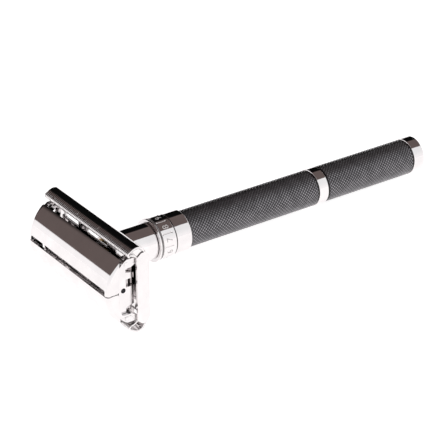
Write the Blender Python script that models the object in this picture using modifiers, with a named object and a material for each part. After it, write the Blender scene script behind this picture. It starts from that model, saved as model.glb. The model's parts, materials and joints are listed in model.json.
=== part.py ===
"""Adjustable twist-to-open double-edge safety razor, lying on its guard and its knob.

Razor frame: +X runs along the handle from the head's crest to the knob's end, Y runs along the
cutting edges, +Z points away from the table. The whole frame leans a few degrees about Y, so that
the lower guard roll and the rim of the end cap both touch the table at z = 0. The right end of
the head is at -Y, the left end at +Y.
"""

import math

import bmesh
import bpy
from mathutils import Matrix, Vector

MM = 0.001

# Fits
SEAT = 0.15 * MM  # gap between pieces that are fixed to each other
RUN = 0.15 * MM  # gap between pieces that move past each other

# Head: doors
DOOR_RADIUS = 12.9 * MM  # outer radius of the domed doors, crest at x = 0
DOOR_SHEET = 0.9 * MM
DOOR_EDGE = 10.1 * MM  # half width across the two shaving edges
DOOR_BEVEL = 0.75 * MM  # the inner skin stops this much short of the shaving edge
DOOR_LENGTH = 42.0 * MM
CREST_SLOT = 1.7 * MM  # width of the slot in the upper door's edge, over the lifter's bar
CREST_SLOT_MARGIN = 1.4 * MM  # from each end of the slot to the end of the doors
CREST_SEAM = 0.3 * MM  # width of the seam between the doors at each end
EAR_SHEET = 0.75 * MM
EAR_INSET = 0.15 * MM  # the ears sit this far inside the ends of the doors
EAR_SKIRT = 4.1 * MM  # lower edge of the ears near the middle
EAR_SKIRT_REACH = 5.8 * MM  # how far from the middle that edge runs
EAR_SKIRT_CORNER = 0.6 * MM
DOOR_SWING = math.radians(70)

# Head: lifter
LIFT = 3.4 * MM
PIVOT_DEPTH = 6.3 * MM
PIVOT_OFFSET = 8.6 * MM
HINGE_PIN = 0.6 * MM  # radius
CAM_PIN = 0.5 * MM  # radius
CAM_BOSS_WALL = 0.55 * MM  # ear metal round the cam pin
CAM_BOSS_SLOPE = 0.8 * MM
CAM_DEPTH = 2.6 * MM  # cam pin below the hinge pin
CAM_OFFSET = 0.3 * MM  # and outside it
BRACKET_SHEET = 0.8 * MM
BRACKET_BOSS = 1.1 * MM  # radius of the bracket's ends round the hinge pins
BRACKET_WAIST = (0.4 * MM, 1.6 * MM)  # below and inside the hinge pin, where the arms leave it
BRACKET_BROW = (0.2 * MM, 3.4 * MM)  # above the bar, and inside the hinge pin
BRACKET_APRON = (2.1 * MM, 4.9 * MM)  # below the bar, and half its width
BRACKET_APRON_CORNER = 0.6 * MM
BRACKET_NOTCH = (0.8 * MM, 3.3 * MM)  # its two sides, from the middle
BRACKET_NOTCH_DEPTH = 2.5 * MM
BAR_TOP = 4.6 * MM
BAR_BOTTOM = 7.2 * MM
BAR_WIDTH = 2.8 * MM
BAR_RIVET = 0.6 * MM  # radius
BAR_RIVET_DEPTH = 1.6 * MM
RIVET_PROUD = 0.05 * MM
STEM_SPIGOT = 1.0 * MM  # radius
STEM_RECESS = 0.3 * MM
STEM_END = 48.0 * MM
STEM_BORE_START = 21.0 * MM

# Head: base frame
WALL_SHEET = 0.8 * MM
WALL_OFFSET = 10.0 * MM
WALL_FOOT = 10.0 * MM
WALL_NOTCH = 3.6 * MM  # half the width of the gap that lets the bar through
WALL_SHOULDER = 2.9 * MM  # the walls reach no nearer to the crest than this
PLATFORM_TOP = 8.2 * MM
PLATFORM_SHEET = 1.0 * MM
PLATFORM_WIDTH = 10.0 * MM
BASE_NUT_WALL = 1.15 * MM
BASE_NUT_HEIGHT = 0.7 * MM

# Head: guard plate
GUARD_SHEET = 0.6 * MM
GUARD_OVERHANG = 0.8 * MM  # past each end of the doors
GUARD_DEPTH = 10.4 * MM  # middle of the plate's sheet
GUARD_RISE = 3.3 * MM  # bend radius from the plate up to the lip
GUARD_LIP_OFFSET = 11.1 * MM
ROLL_RADIUS = 2.4 * MM
ROLL_DEPTH = 9.35 * MM
ROLL_OFFSET = 10.7 * MM
ROLL_START = 145  # degrees round the roll, from below the lip to the free edge
ROLL_END = 15
LATHER_SLOT = (5.7 * MM, 9.3 * MM)  # reach of the slots across the plate
SIDE_SLOT_LENGTH = 7.6 * MM
SIDE_SLOT_PLACE = 13.6 * MM
MIDDLE_SLOT_LENGTH = 10.6 * MM
END_BAR_SHEET = 0.65 * MM
END_BAR_TOP = 9.3 * MM
END_BAR_BOTTOM = 13.4 * MM
END_BAR_OFFSET = 11.5 * MM
END_BAR_CHAMFER = 1.5 * MM
GUARD_TRAVEL = 0.35 * MM  # each way from the middle setting
CAM_NOTCH_START = 7.6 * MM  # the notches that clear the walls' feet and the cam pins

# Handle along its axis: distances from the crest, and lengths
NECK_TOP = 12.2 * MM
DIAL_START = 27.4 * MM
DIAL_LENGTH = 5.9 * MM
DIAL_BEAD_LENGTH = 0.9 * MM
COLLAR_LENGTH = 5.1 * MM
GRIP_LENGTH = 46.6 * MM
RING_LENGTH = 3.5 * MM
KNOB_LENGTH = 33.2 * MM
CAP_LENGTH = 4.1 * MM
CAP_BEVEL = 0.4 * MM
CAP_SKIRT = 1.1 * MM
SPIGOT_SHORT = 1.0 * MM  # the neck's spigot stops this far inside the collar
SLEEVE_FLANGE_LENGTH = 0.75 * MM
BUSH_LENGTH = 8.0 * MM
ROD_START = 26.0 * MM
ROD_SHORT = 5.0 * MM  # the rod stops this far inside the knob's core
THRUST_LENGTH = 2.0 * MM
WASHER_LENGTH = 0.7 * MM

# Handle across its axis: the rod, and what lies round it
ROD_RADIUS = 1.1 * MM
STEM_WALL = 0.7 * MM
INNER_TUBE_WALL = 0.8 * MM
INNER_TUBE_STEP = 0.3 * MM  # from the tube down to the spigot that carries the base
SLEEVE_WALL = 0.55 * MM
SLEEVE_FLANGE_WIDTH = 1.3 * MM
SPIGOT_WALL = 0.95 * MM
NECK_STEP = 0.65 * MM  # from the spigot up to the neck
DIAL_WALL = 1.3 * MM
DIAL_BEAD = 0.25 * MM
CAM_GROOVE_DEPTH = 0.75 * MM
HANDLE_TUBE_WALL = 1.0 * MM
GRIP_WALL = 0.51 * MM
RING_STEP = 0.14 * MM  # from the grips up to the middle ring and the cap
COLLAR_STEP = 0.64 * MM  # from the grip up to the collar
FOLLOWER_RADIUS = 0.5 * MM
FOLLOWER_REACH = 0.55 * MM  # how far the follower stands into the dial
THRUST_WALL = 1.35 * MM
WASHER_STEP = 0.35 * MM  # from the knob's core down to the washer

ROUND = 48  # sides of the large turned pieces
SMALL_ROUND = 24

LAP = 0.1 * MM  # how far joined shapes run into each other

# Where things come to lie
DIAL_END = DIAL_START + DIAL_LENGTH
COLLAR_START = DIAL_END + SEAT
COLLAR_END = COLLAR_START + COLLAR_LENGTH
GRIP_START = COLLAR_END + SEAT
GRIP_END = GRIP_START + GRIP_LENGTH
RING_START = GRIP_END + SEAT
RING_END = RING_START + RING_LENGTH
KNOB_START = RING_END + 2 * RUN
KNOB_END = KNOB_START + KNOB_LENGTH
CAP_START = KNOB_END + SEAT
CAP_END = CAP_START + CAP_LENGTH
STEM_RADIUS = ROD_RADIUS + RUN + STEM_WALL
INNER_TUBE_RADIUS = STEM_RADIUS + RUN + INNER_TUBE_WALL
INNER_TUBE_SPIGOT = INNER_TUBE_RADIUS - INNER_TUBE_STEP
BASE_NUT_RADIUS = INNER_TUBE_SPIGOT + SEAT + BASE_NUT_WALL
SLEEVE_BORE = INNER_TUBE_RADIUS + RUN
SLEEVE_RADIUS = SLEEVE_BORE + SLEEVE_WALL
SLEEVE_END = COLLAR_START - GUARD_TRAVEL - 2 * RUN
NECK_BORE = SLEEVE_RADIUS + 2 * RUN
SPIGOT_RADIUS = NECK_BORE + SPIGOT_WALL
NECK_RADIUS = SPIGOT_RADIUS + NECK_STEP
DIAL_RADIUS = SPIGOT_RADIUS + RUN + DIAL_WALL
HANDLE_BORE = NECK_BORE
HANDLE_TUBE_RADIUS = HANDLE_BORE + HANDLE_TUBE_WALL
GRIP_RADIUS = HANDLE_TUBE_RADIUS + SEAT + GRIP_WALL
RING_RADIUS = GRIP_RADIUS + RING_STEP
CAP_RADIUS = RING_RADIUS
COLLAR_RADIUS = GRIP_RADIUS + COLLAR_STEP
THRUST_RADIUS = ROD_RADIUS + SEAT + THRUST_WALL
CREST_SLOT_LENGTH = DOOR_LENGTH - 2 * CREST_SLOT_MARGIN
GUARD_LENGTH = DOOR_LENGTH + 2 * GUARD_OVERHANG
GUARD_TOP = GUARD_DEPTH - GUARD_SHEET / 2
GUARD_BACK = GUARD_DEPTH + GUARD_SHEET / 2
PLATFORM_BOTTOM = PLATFORM_TOP + PLATFORM_SHEET
EAR_OUTER = DOOR_LENGTH / 2 - EAR_INSET
EAR_INNER = EAR_OUTER - EAR_SHEET
BRACKET_OUTER = EAR_INNER - RUN
BRACKET_INNER = BRACKET_OUTER - BRACKET_SHEET
WALL_OUTER = BRACKET_INNER - RUN
WALL_INNER = WALL_OUTER - WALL_SHEET
BAR_MIDDLE = (BAR_TOP + BAR_BOTTOM) / 2
CAM_NOTCH_END = WALL_OFFSET + 2 * RUN
FOLLOWER_PLACE = (DIAL_START + DIAL_END) / 2

# The lean that lets the guard roll and the cap's rim touch the table together
ROLL_OUTSIDE = ROLL_RADIUS + GUARD_SHEET / 2
CAP_RIM = CAP_END - CAP_BEVEL
REACH = CAP_RIM - ROLL_DEPTH
DROP = ROLL_OFFSET - CAP_RADIUS
LEAN = math.atan2(DROP, REACH) + math.asin(ROLL_OUTSIDE / math.hypot(REACH, DROP))
TABLE = CAP_RIM * math.sin(LEAN) + CAP_RADIUS * math.cos(LEAN)
FRONT = DOOR_RADIUS * (math.cos(LEAN) - 1)
REAR = CAP_END * math.cos(LEAN) + (CAP_RADIUS - CAP_BEVEL) * math.sin(LEAN)


def clear_scene():
    """Remove everything that the file holds."""
    for item in list(bpy.data.objects):
        bpy.data.objects.remove(item, do_unlink=True)
    for group in list(bpy.data.collections):
        bpy.data.collections.remove(group)


clear_scene()
razor = bpy.data.collections.new("safety_razor")
cutters = bpy.data.collections.new("cutters")
for collection in (razor, cutters):
    bpy.context.scene.collection.children.link(collection)


def finish(name, colour, roughness, metallic):
    """A Principled material."""
    made = bpy.data.materials.new(name)
    made.use_nodes = True
    shader = made.node_tree.nodes["Principled BSDF"]
    shader.inputs["Base Color"].default_value = (*colour, 1.0)
    shader.inputs["Roughness"].default_value = roughness
    shader.inputs["Metallic"].default_value = metallic
    return made


CHROME = finish("bright_chrome", (0.78, 0.77, 0.78), 0.08, 1.0)
BLACK = finish("black_lacquer", (0.03, 0.03, 0.035), 0.35, 0.3)
BRASS = finish("raw_brass", (0.62, 0.47, 0.2), 0.35, 1.0)
STEEL = finish("plain_steel", (0.45, 0.45, 0.47), 0.3, 1.0)


class Group:
    """A set of pieces that move together, under an empty at a place in the razor frame."""

    def __init__(self, name, parent=None, place=(0, 0, 0)):
        self.place = Vector(place)
        self.empty = bpy.data.objects.new(name, None)
        self.empty.empty_display_size = 0.01
        razor.objects.link(self.empty)
        if parent:
            self.empty.parent = parent.empty
            self.empty.location = self.place - parent.place

    def add(self, name, mesh, material=None):
        """Link a piece whose mesh is given in the razor frame; one with no material is a cutter."""
        piece = bpy.data.objects.new(name, mesh)
        piece.parent = self.empty
        piece.location = -self.place
        if material:
            mesh.materials.append(material)
            razor.objects.link(piece)
        else:
            piece.hide_render = True
            piece.display_type = "WIRE"
            cutters.objects.link(piece)
        return piece


def smooth(piece):
    """Shade a round piece smooth between its sharp edges."""
    piece.data.shade_smooth()
    piece.data.set_sharp_from_angle(angle=math.radians(35))


def turned(group, name, profile, material=None, sides=ROUND):
    """A piece turned about the handle's axis from (distance, radius) points.

    The points start at the end near the head and run along the outside, then back up the bore.
    The profile is drawn along the object's Z, which is laid along the handle, so it is reversed
    for the screwed outline to run down its outer side.
    """
    mesh = bpy.data.meshes.new(name)
    points = [(radius, 0, along) for along, radius in reversed(profile)]
    edges = [(i, i + 1) for i in range(len(points) - 1)]
    if min(radius for _, radius in profile) > 0:
        edges.append((len(points) - 1, 0))
    mesh.from_pydata(points, edges, [])
    piece = group.add(name, mesh, material)
    piece.rotation_euler = (0, math.pi / 2, 0)
    screw = piece.modifiers.new("turn", "SCREW")
    screw.axis = "Z"
    screw.steps = sides
    screw.render_steps = sides
    screw.use_merge_vertices = True
    screw.merge_threshold = 1e-6
    return piece


def tube(group, name, start, end, outer, bore, material=None, sides=ROUND):
    """A plain tube along the handle."""
    profile = [(start, outer), (end, outer), (end, bore), (start, bore)]
    return turned(group, name, profile, material, sides)


def pin(group, name, radius, low, high, place, material=None, turn="Y", sides=SMALL_ROUND):
    """A solid pin from low to high along Y or Z, through a place in the razor frame."""
    mesh = bpy.data.meshes.new(name)
    body = bmesh.new()
    bmesh.ops.create_cone(
        body, cap_ends=True, segments=sides, radius1=radius, radius2=radius, depth=high - low)
    body.to_mesh(mesh)
    body.free()
    middle = (low + high) / 2
    if turn == "Y":
        mesh.transform(Matrix.Rotation(math.pi / 2, 4, "X"))
        mesh.transform(Matrix.Translation((place[0], middle, place[2])))
    else:
        mesh.transform(Matrix.Translation((place[0], place[1], middle)))
    piece = group.add(name, mesh, material)
    smooth(piece)
    return piece


def block(group, name, low, high, material=None):
    """A box between two corners of the razor frame."""
    low, high = Vector(low), Vector(high)
    mesh = bpy.data.meshes.new(name)
    body = bmesh.new()
    bmesh.ops.create_cube(body, size=1.0)
    bmesh.ops.scale(body, vec=high - low, verts=body.verts)
    bmesh.ops.translate(body, vec=(low + high) / 2, verts=body.verts)
    body.to_mesh(mesh)
    body.free()
    return group.add(name, mesh, material)


def plate(group, name, outlines, low, high, material=None):
    """A flat piece between two Y planes, from (x, z) outlines; those after the first are holes."""
    curve = bpy.data.curves.new(name, "CURVE")
    curve.dimensions = "2D"
    curve.fill_mode = "BOTH"
    curve.extrude = (high - low) / 2
    for outline in outlines:
        spline = curve.splines.new("POLY")
        spline.points.add(len(outline) - 1)
        for point, (x, z) in zip(spline.points, outline):
            point.co = (x, z, 0, 1)
        spline.use_cyclic_u = True
    shape = bpy.data.objects.new(name + "_outline", curve)
    cutters.objects.link(shape)
    seen = shape.evaluated_get(bpy.context.evaluated_depsgraph_get())
    mesh = bpy.data.meshes.new_from_object(seen)
    bpy.data.objects.remove(shape)
    mesh.name = name
    mesh.materials.clear()
    body = bmesh.new()
    body.from_mesh(mesh)
    bmesh.ops.remove_doubles(body, verts=body.verts, dist=1e-6)
    body.to_mesh(mesh)
    body.free()
    mesh.transform(Matrix.Rotation(math.pi / 2, 4, "X"))
    mesh.transform(Matrix.Translation((0, (low + high) / 2, 0)))
    return group.add(name, mesh, material)


def combine(piece, others, operation):
    """A Boolean of a piece with each of the others, which are hidden cutters."""
    for other in others:
        change = piece.modifiers.new(other.name, "BOOLEAN")
        change.operation = operation
        change.object = other
        change.solver = "EXACT"


def cut(piece, *others):
    """Cut the others from a piece."""
    combine(piece, others, "DIFFERENCE")


def join(piece, *others):
    """Join the others to a piece."""
    combine(piece, others, "UNION")


def arc(middle, radius, start, end, steps):
    """Points on an arc about an (x, z) middle; angles in degrees from +X towards +Z."""
    angles = [math.radians(start + (end - start) * i / steps) for i in range(steps + 1)]
    return [(middle[0] + radius * math.cos(a), middle[1] + radius * math.sin(a)) for a in angles]


def ring(middle, radius, sides=SMALL_ROUND):
    """A round outline."""
    return arc(middle, radius, 0, 360, sides)[:-1]


def flipped(points):
    """An outline mirrored from the upper to the lower half of the head."""
    return [(x, -z) for x, z in reversed(points)]


def ribbon(path, width):
    """The outline of a band of constant width along a path."""
    sides = ([], [])
    for i, (x, z) in enumerate(path):
        before, after = path[max(i - 1, 0)], path[min(i + 1, len(path) - 1)]
        along = Vector((after[0] - before[0], after[1] - before[1])).normalized()
        for side, sign in zip(sides, (1, -1)):
            side.append((x - sign * along.y * width / 2, z + sign * along.x * width / 2))
    return sides[0] + sides[1][::-1]


def dome(inset, offset):
    """Depth below the crest, at an offset from the middle, of a surface inset from the doors."""
    return DOOR_RADIUS - math.sqrt((DOOR_RADIUS - inset) ** 2 - offset ** 2)


def dome_arc(inset, start, end, steps=10):
    """Points on a surface inset from the doors, between two offsets from the middle."""
    radius = DOOR_RADIUS - inset
    first, last = (180 - math.degrees(math.asin(offset / radius)) for offset in (start, end))
    return arc((DOOR_RADIUS, 0), radius, first, last, steps)


def cam_place(turned_part):
    """Where a cam pin stands when the knob has made this share of its travel."""
    swing = DOOR_SWING * turned_part
    depth = CAM_DEPTH * math.cos(swing) + CAM_OFFSET * math.sin(swing)
    offset = CAM_OFFSET * math.cos(swing) - CAM_DEPTH * math.sin(swing)
    return PIVOT_DEPTH - LIFT * turned_part + depth, PIVOT_OFFSET + offset


def cam_slot(steps=10):
    """The outline that a cam pin needs over the whole travel of the knob."""
    path = [cam_place(i / steps) for i in range(steps + 1)]
    width = CAM_PIN + RUN
    band = ribbon(path, 2 * width)
    side = len(path)
    ends = []
    for place, tip in ((path[-1], band[side - 1]), (path[0], band[-1])):
        start = math.degrees(math.atan2(tip[1] - place[1], tip[0] - place[0]))
        ends.append(arc(place, width, start, start - 180, 8)[1:-1])
    return band[:side] + ends[0] + band[side:] + ends[1]


# Handle body: what the hand holds, and the base that is fixed to it
def base_frame(group):
    """The platform under the blade, with a wall at each end that carries the cam slots."""
    foot = PLATFORM_WIDTH / 2
    notch = (BAR_BOTTOM + 2 * RUN, WALL_NOTCH)
    crown = DOOR_SHEET + 2 * RUN
    shoulder = math.sqrt((DOOR_RADIUS - crown) ** 2 - (DOOR_RADIUS - WALL_SHOULDER) ** 2)
    upper = [notch, (WALL_SHOULDER, notch[1])] + dome_arc(crown, shoulder, WALL_OFFSET)
    foot_start = CAM_NOTCH_START + RUN
    upper += [(WALL_FOOT, WALL_OFFSET), (WALL_FOOT, foot_start),
              (GUARD_TOP - GUARD_TRAVEL - RUN, foot_start), (PLATFORM_BOTTOM, foot + WALL_SHEET)]
    outline = upper + flipped(upper)
    slots = [cam_slot(), flipped(cam_slot())]
    frame = block(
        group, "base_frame", (PLATFORM_TOP, -WALL_INNER - LAP, -foot),
        (PLATFORM_BOTTOM, WALL_INNER + LAP, foot), CHROME)
    join(frame, plate(group, "left_wall", [outline] + slots, WALL_INNER, WALL_OUTER),
         plate(group, "right_wall", [outline] + slots, -WALL_OUTER, -WALL_INNER))
    cut(frame, tube_cutter(group, "base_hole", PLATFORM_TOP, PLATFORM_BOTTOM,
                           INNER_TUBE_SPIGOT + SEAT))
    return frame


def tube_cutter(group, name, start, end, radius, sides=ROUND):
    """A round cutter along the handle that runs well past both faces."""
    past = 5 * LAP
    return turned(group, name, [(start - past, 0), (start - past, radius), (end + past, radius),
                                (end + past, 0)], sides=sides)


def handle(group):
    """The tubes, bushes and sleeves from the base to the middle ring."""
    top = PLATFORM_TOP - BASE_NUT_HEIGHT - SEAT
    shoulder = PLATFORM_BOTTOM + SEAT
    bush_start = COLLAR_START
    bush_end = bush_start + BUSH_LENGTH
    rear_start = RING_END - BUSH_LENGTH
    thrust_end = rear_start - RUN
    inner_end = thrust_end - THRUST_LENGTH - 2 * RUN
    base_frame(group)
    tube(group, "base_nut", top, top + BASE_NUT_HEIGHT, BASE_NUT_RADIUS,
         INNER_TUBE_SPIGOT + SEAT, BRASS)
    bore = STEM_RADIUS + RUN
    turned(group, "inner_tube", [
        (top, INNER_TUBE_SPIGOT), (shoulder, INNER_TUBE_SPIGOT), (shoulder, INNER_TUBE_RADIUS),
        (inner_end, INNER_TUBE_RADIUS), (inner_end, bore), (top, bore)], BRASS)
    neck_end = COLLAR_END - SPIGOT_SHORT
    neck = turned(group, "neck_sleeve", [
        (NECK_TOP, NECK_RADIUS), (DIAL_START - RUN, NECK_RADIUS),
        (DIAL_START - RUN, SPIGOT_RADIUS), (neck_end, SPIGOT_RADIUS),
        (neck_end, NECK_BORE), (NECK_TOP, NECK_BORE)], CHROME)
    half = FOLLOWER_RADIUS + RUN
    cut(neck, block(
        group, "follower_slot", (FOLLOWER_PLACE - half - GUARD_TRAVEL, -half, -NECK_RADIUS),
        (FOLLOWER_PLACE + half + GUARD_TRAVEL, half, 0)))
    tube(group, "front_bush", bush_start, bush_end, NECK_BORE - SEAT, INNER_TUBE_RADIUS + SEAT,
         BRASS)
    tube(group, "handle_tube", neck_end + SEAT, RING_END, HANDLE_TUBE_RADIUS, HANDLE_BORE, BRASS)
    bore = HANDLE_TUBE_RADIUS + SEAT
    tube(group, "collar", COLLAR_START, COLLAR_END, COLLAR_RADIUS, bore, CHROME)
    tube(group, "front_grip", GRIP_START, GRIP_END, GRIP_RADIUS, bore, BLACK)
    tube(group, "middle_ring", RING_START, RING_END, RING_RADIUS, bore, CHROME)
    tube(group, "rear_bush", rear_start, RING_END, HANDLE_BORE - SEAT, ROD_RADIUS + RUN, BRASS,
         SMALL_ROUND)
    return thrust_end


def dial(group):
    """The numbered ring that sets the guard, turning on the neck's spigot."""
    bore = SPIGOT_RADIUS + RUN
    groove = bore + CAM_GROOVE_DEPTH
    low = FOLLOWER_PLACE - FOLLOWER_RADIUS - GUARD_TRAVEL - RUN
    high = FOLLOWER_PLACE + FOLLOWER_RADIUS + GUARD_TRAVEL + RUN
    bead = DIAL_START + DIAL_BEAD_LENGTH
    turned(group, "adjuster_dial", [
        (DIAL_START, DIAL_RADIUS), (bead, DIAL_RADIUS + DIAL_BEAD), (bead, DIAL_RADIUS),
        (DIAL_END - RUN, DIAL_RADIUS), (DIAL_END - RUN, bore), (high, bore), (high, groove),
        (low, groove), (low, bore), (DIAL_START, bore)], CHROME)


def guard(group):
    """The guard plate with its rolled edges, and the sleeve that the dial moves."""
    rise_middle = (GUARD_DEPTH - GUARD_RISE, GUARD_LIP_OFFSET - GUARD_RISE)
    rise = arc(rise_middle, GUARD_RISE, 0, 90, 8)
    roll = arc((ROLL_DEPTH, ROLL_OFFSET), ROLL_RADIUS, ROLL_START, ROLL_END, 12)
    roll_start = roll[0]
    lip_middle = ((rise[-1][0] + roll_start[0]) / 2, (rise[-1][1] + roll_start[1]) / 2)
    lip_radius = math.dist(rise[-1], roll_start) / 2
    lip_angle = math.degrees(math.atan2(rise[-1][1] - lip_middle[1], rise[-1][0] - lip_middle[0]))
    lip = arc(lip_middle, lip_radius, lip_angle, lip_angle - 180, 8)
    side = rise + lip[1:] + roll[1:]
    section = ribbon(flipped(side) + side, GUARD_SHEET)
    half = GUARD_LENGTH / 2
    guard_plate = plate(group, "guard_plate", [section], -half, half, CHROME)
    chamfer = END_BAR_OFFSET - END_BAR_CHAMFER
    bar = [(END_BAR_TOP, chamfer), (END_BAR_BOTTOM - END_BAR_CHAMFER, END_BAR_OFFSET),
           (END_BAR_BOTTOM, chamfer)]
    bar = bar + flipped(bar)
    for name, low in (("left_end_bar", half - END_BAR_SHEET), ("right_end_bar", -half)):
        join(guard_plate, plate(group, name, [bar], low, low + END_BAR_SHEET))
    for sign, edge in ((1, "upper"), (-1, "lower")):
        reach = sorted(sign * place for place in LATHER_SLOT)
        rows = (("left", SIDE_SLOT_PLACE, SIDE_SLOT_LENGTH), ("middle", 0, MIDDLE_SLOT_LENGTH),
                ("right", -SIDE_SLOT_PLACE, SIDE_SLOT_LENGTH))
        for row, place, length in rows:
            cut(guard_plate, block(
                group, f"{edge}_{row}_lather_slot", (PLATFORM_TOP, place - length / 2, reach[0]),
                (GUARD_BACK + LAP, place + length / 2, reach[1])))
        reach = sorted(sign * place for place in (CAM_NOTCH_START, CAM_NOTCH_END))
        for row, low, high in (("left", WALL_INNER - RUN, half - END_BAR_SHEET - RUN),
                               ("right", END_BAR_SHEET + RUN - half, RUN - WALL_INNER)):
            cut(guard_plate, block(group, f"{edge}_{row}_cam_notch", (EAR_SKIRT, low, reach[0]),
                                   (GUARD_BACK + LAP, high, reach[1])))
    cut(guard_plate, tube_cutter(group, "sleeve_hole", GUARD_TOP, GUARD_BACK, SLEEVE_RADIUS + SEAT))
    flange = GUARD_BACK + SEAT
    flange_radius = SLEEVE_RADIUS + SLEEVE_FLANGE_WIDTH
    sleeve = turned(group, "adjuster_sleeve", [
        (GUARD_TOP, SLEEVE_RADIUS), (flange, SLEEVE_RADIUS), (flange, flange_radius),
        (flange + SLEEVE_FLANGE_LENGTH, flange_radius),
        (flange + SLEEVE_FLANGE_LENGTH, SLEEVE_RADIUS), (SLEEVE_END, SLEEVE_RADIUS),
        (SLEEVE_END, SLEEVE_BORE), (GUARD_TOP, SLEEVE_BORE)], BRASS)
    place = (FOLLOWER_PLACE, 0, 0)
    hole = pin(group, "follower_hole", FOLLOWER_RADIUS + SEAT, -NECK_RADIUS, 0, place, turn="Z")
    cut(sleeve, hole)
    pin(group, "dial_follower_pin", FOLLOWER_RADIUS, -SPIGOT_RADIUS - RUN - FOLLOWER_REACH,
        -SLEEVE_BORE - LAP, place, STEEL, turn="Z")


def knob(group, thrust_end):
    """The turning rear of the handle, with the rod that drives the lifter."""
    washer_start = RING_END + RUN
    core_start = KNOB_START + WASHER_LENGTH
    core_end = CAP_START + CAP_SKIRT - SEAT
    rod_end = core_end - ROD_SHORT
    turned(group, "drive_rod", [(ROD_START, 0), (ROD_START, ROD_RADIUS), (rod_end, ROD_RADIUS),
                                (rod_end, 0)], STEEL, SMALL_ROUND)
    tube(group, "thrust_collar", thrust_end - THRUST_LENGTH, thrust_end, THRUST_RADIUS,
         ROD_RADIUS + SEAT, STEEL, SMALL_ROUND)
    tube(group, "thrust_washer", washer_start, core_start - SEAT,
         HANDLE_TUBE_RADIUS - WASHER_STEP, ROD_RADIUS + SEAT, STEEL, SMALL_ROUND)
    tube(group, "knob_core", core_start, core_end, HANDLE_TUBE_RADIUS, ROD_RADIUS + SEAT, BRASS)
    bore = HANDLE_TUBE_RADIUS + SEAT
    tube(group, "knob_grip", KNOB_START, KNOB_END, GRIP_RADIUS, bore, BLACK)
    seat = CAP_START + CAP_SKIRT
    turned(group, "end_cap", [
        (seat, 0), (seat, bore), (CAP_START, bore), (CAP_START, CAP_RADIUS),
        (CAP_END - CAP_BEVEL, CAP_RADIUS), (CAP_END, CAP_RADIUS - CAP_BEVEL), (CAP_END, 0)], CHROME)


def lifter(group):
    """The bar that raises the doors, its stem, and the brackets that carry the hinge pins."""
    stem_top = BAR_TOP + STEM_RECESS
    shoulder = BAR_BOTTOM + SEAT
    bore = ROD_RADIUS + RUN
    turned(group, "lift_stem", [
        (stem_top, 0), (stem_top, STEM_SPIGOT), (shoulder, STEM_SPIGOT), (shoulder, STEM_RADIUS),
        (STEM_END, STEM_RADIUS), (STEM_END, bore), (STEM_BORE_START, bore),
        (STEM_BORE_START, 0)], STEEL, SMALL_ROUND)
    half = BAR_WIDTH / 2
    reach = BRACKET_INNER - SEAT
    bar = block(group, "lift_bar", (BAR_TOP, -reach, -half), (BAR_BOTTOM, reach, half), CHROME)
    cut(bar, tube_cutter(group, "stem_hole", BAR_TOP, BAR_BOTTOM, STEM_SPIGOT + SEAT, SMALL_ROUND))
    middle = (BAR_MIDDLE, 0, 0)
    hole = BAR_RIVET + SEAT
    depth = BAR_RIVET_DEPTH
    pivot = (PIVOT_DEPTH, PIVOT_OFFSET)
    waist = PIVOT_DEPTH + BRACKET_WAIST[0]
    apron = (BAR_BOTTOM + BRACKET_APRON[0], BRACKET_APRON[1])
    arm = [apron, (waist, apron[1] + BRACKET_APRON_CORNER),
           (waist, PIVOT_OFFSET - BRACKET_WAIST[1])]
    arm += arc(pivot, BRACKET_BOSS, -65, 190, 14)
    arm.append((BAR_TOP - BRACKET_BROW[0], PIVOT_OFFSET - BRACKET_BROW[1]))
    top = apron[0] - BRACKET_NOTCH_DEPTH
    notch = [(apron[0], BRACKET_NOTCH[0]), (top, BRACKET_NOTCH[0]), (top, BRACKET_NOTCH[1]),
             (apron[0], BRACKET_NOTCH[1])]
    outline = notch + arm + flipped(arm)
    holes = [ring(pivot, HINGE_PIN + SEAT), ring((pivot[0], -pivot[1]), HINGE_PIN + SEAT),
             ring((BAR_MIDDLE, 0), hole)]
    for end, sign, side in (("left", 1, flipped(outline)), ("right", -1, outline)):
        low, high = sorted((sign * BRACKET_INNER, sign * BRACKET_OUTER))
        plate(group, f"{end}_bracket", [side] + holes, low, high, CHROME)
        low, high = sorted((sign * (reach - depth - SEAT), sign * (reach + LAP)))
        cut(bar, pin(group, f"{end}_rivet_hole", hole, low, high, middle))
        low, high = sorted((sign * (reach - depth), sign * (BRACKET_OUTER + RIVET_PROUD)))
        pin(group, f"{end}_bracket_rivet", BAR_RIVET, low, high, middle, STEEL)
        for edge, side in (("upper", 1), ("lower", -1)):
            low, high = sorted((sign * (BRACKET_INNER + RIVET_PROUD),
                                sign * (EAR_OUTER + RIVET_PROUD)))
            pin(group, f"{edge}_{end}_hinge_pin", HINGE_PIN, low, high,
                (PIVOT_DEPTH, 0, side * PIVOT_OFFSET), STEEL)


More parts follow.
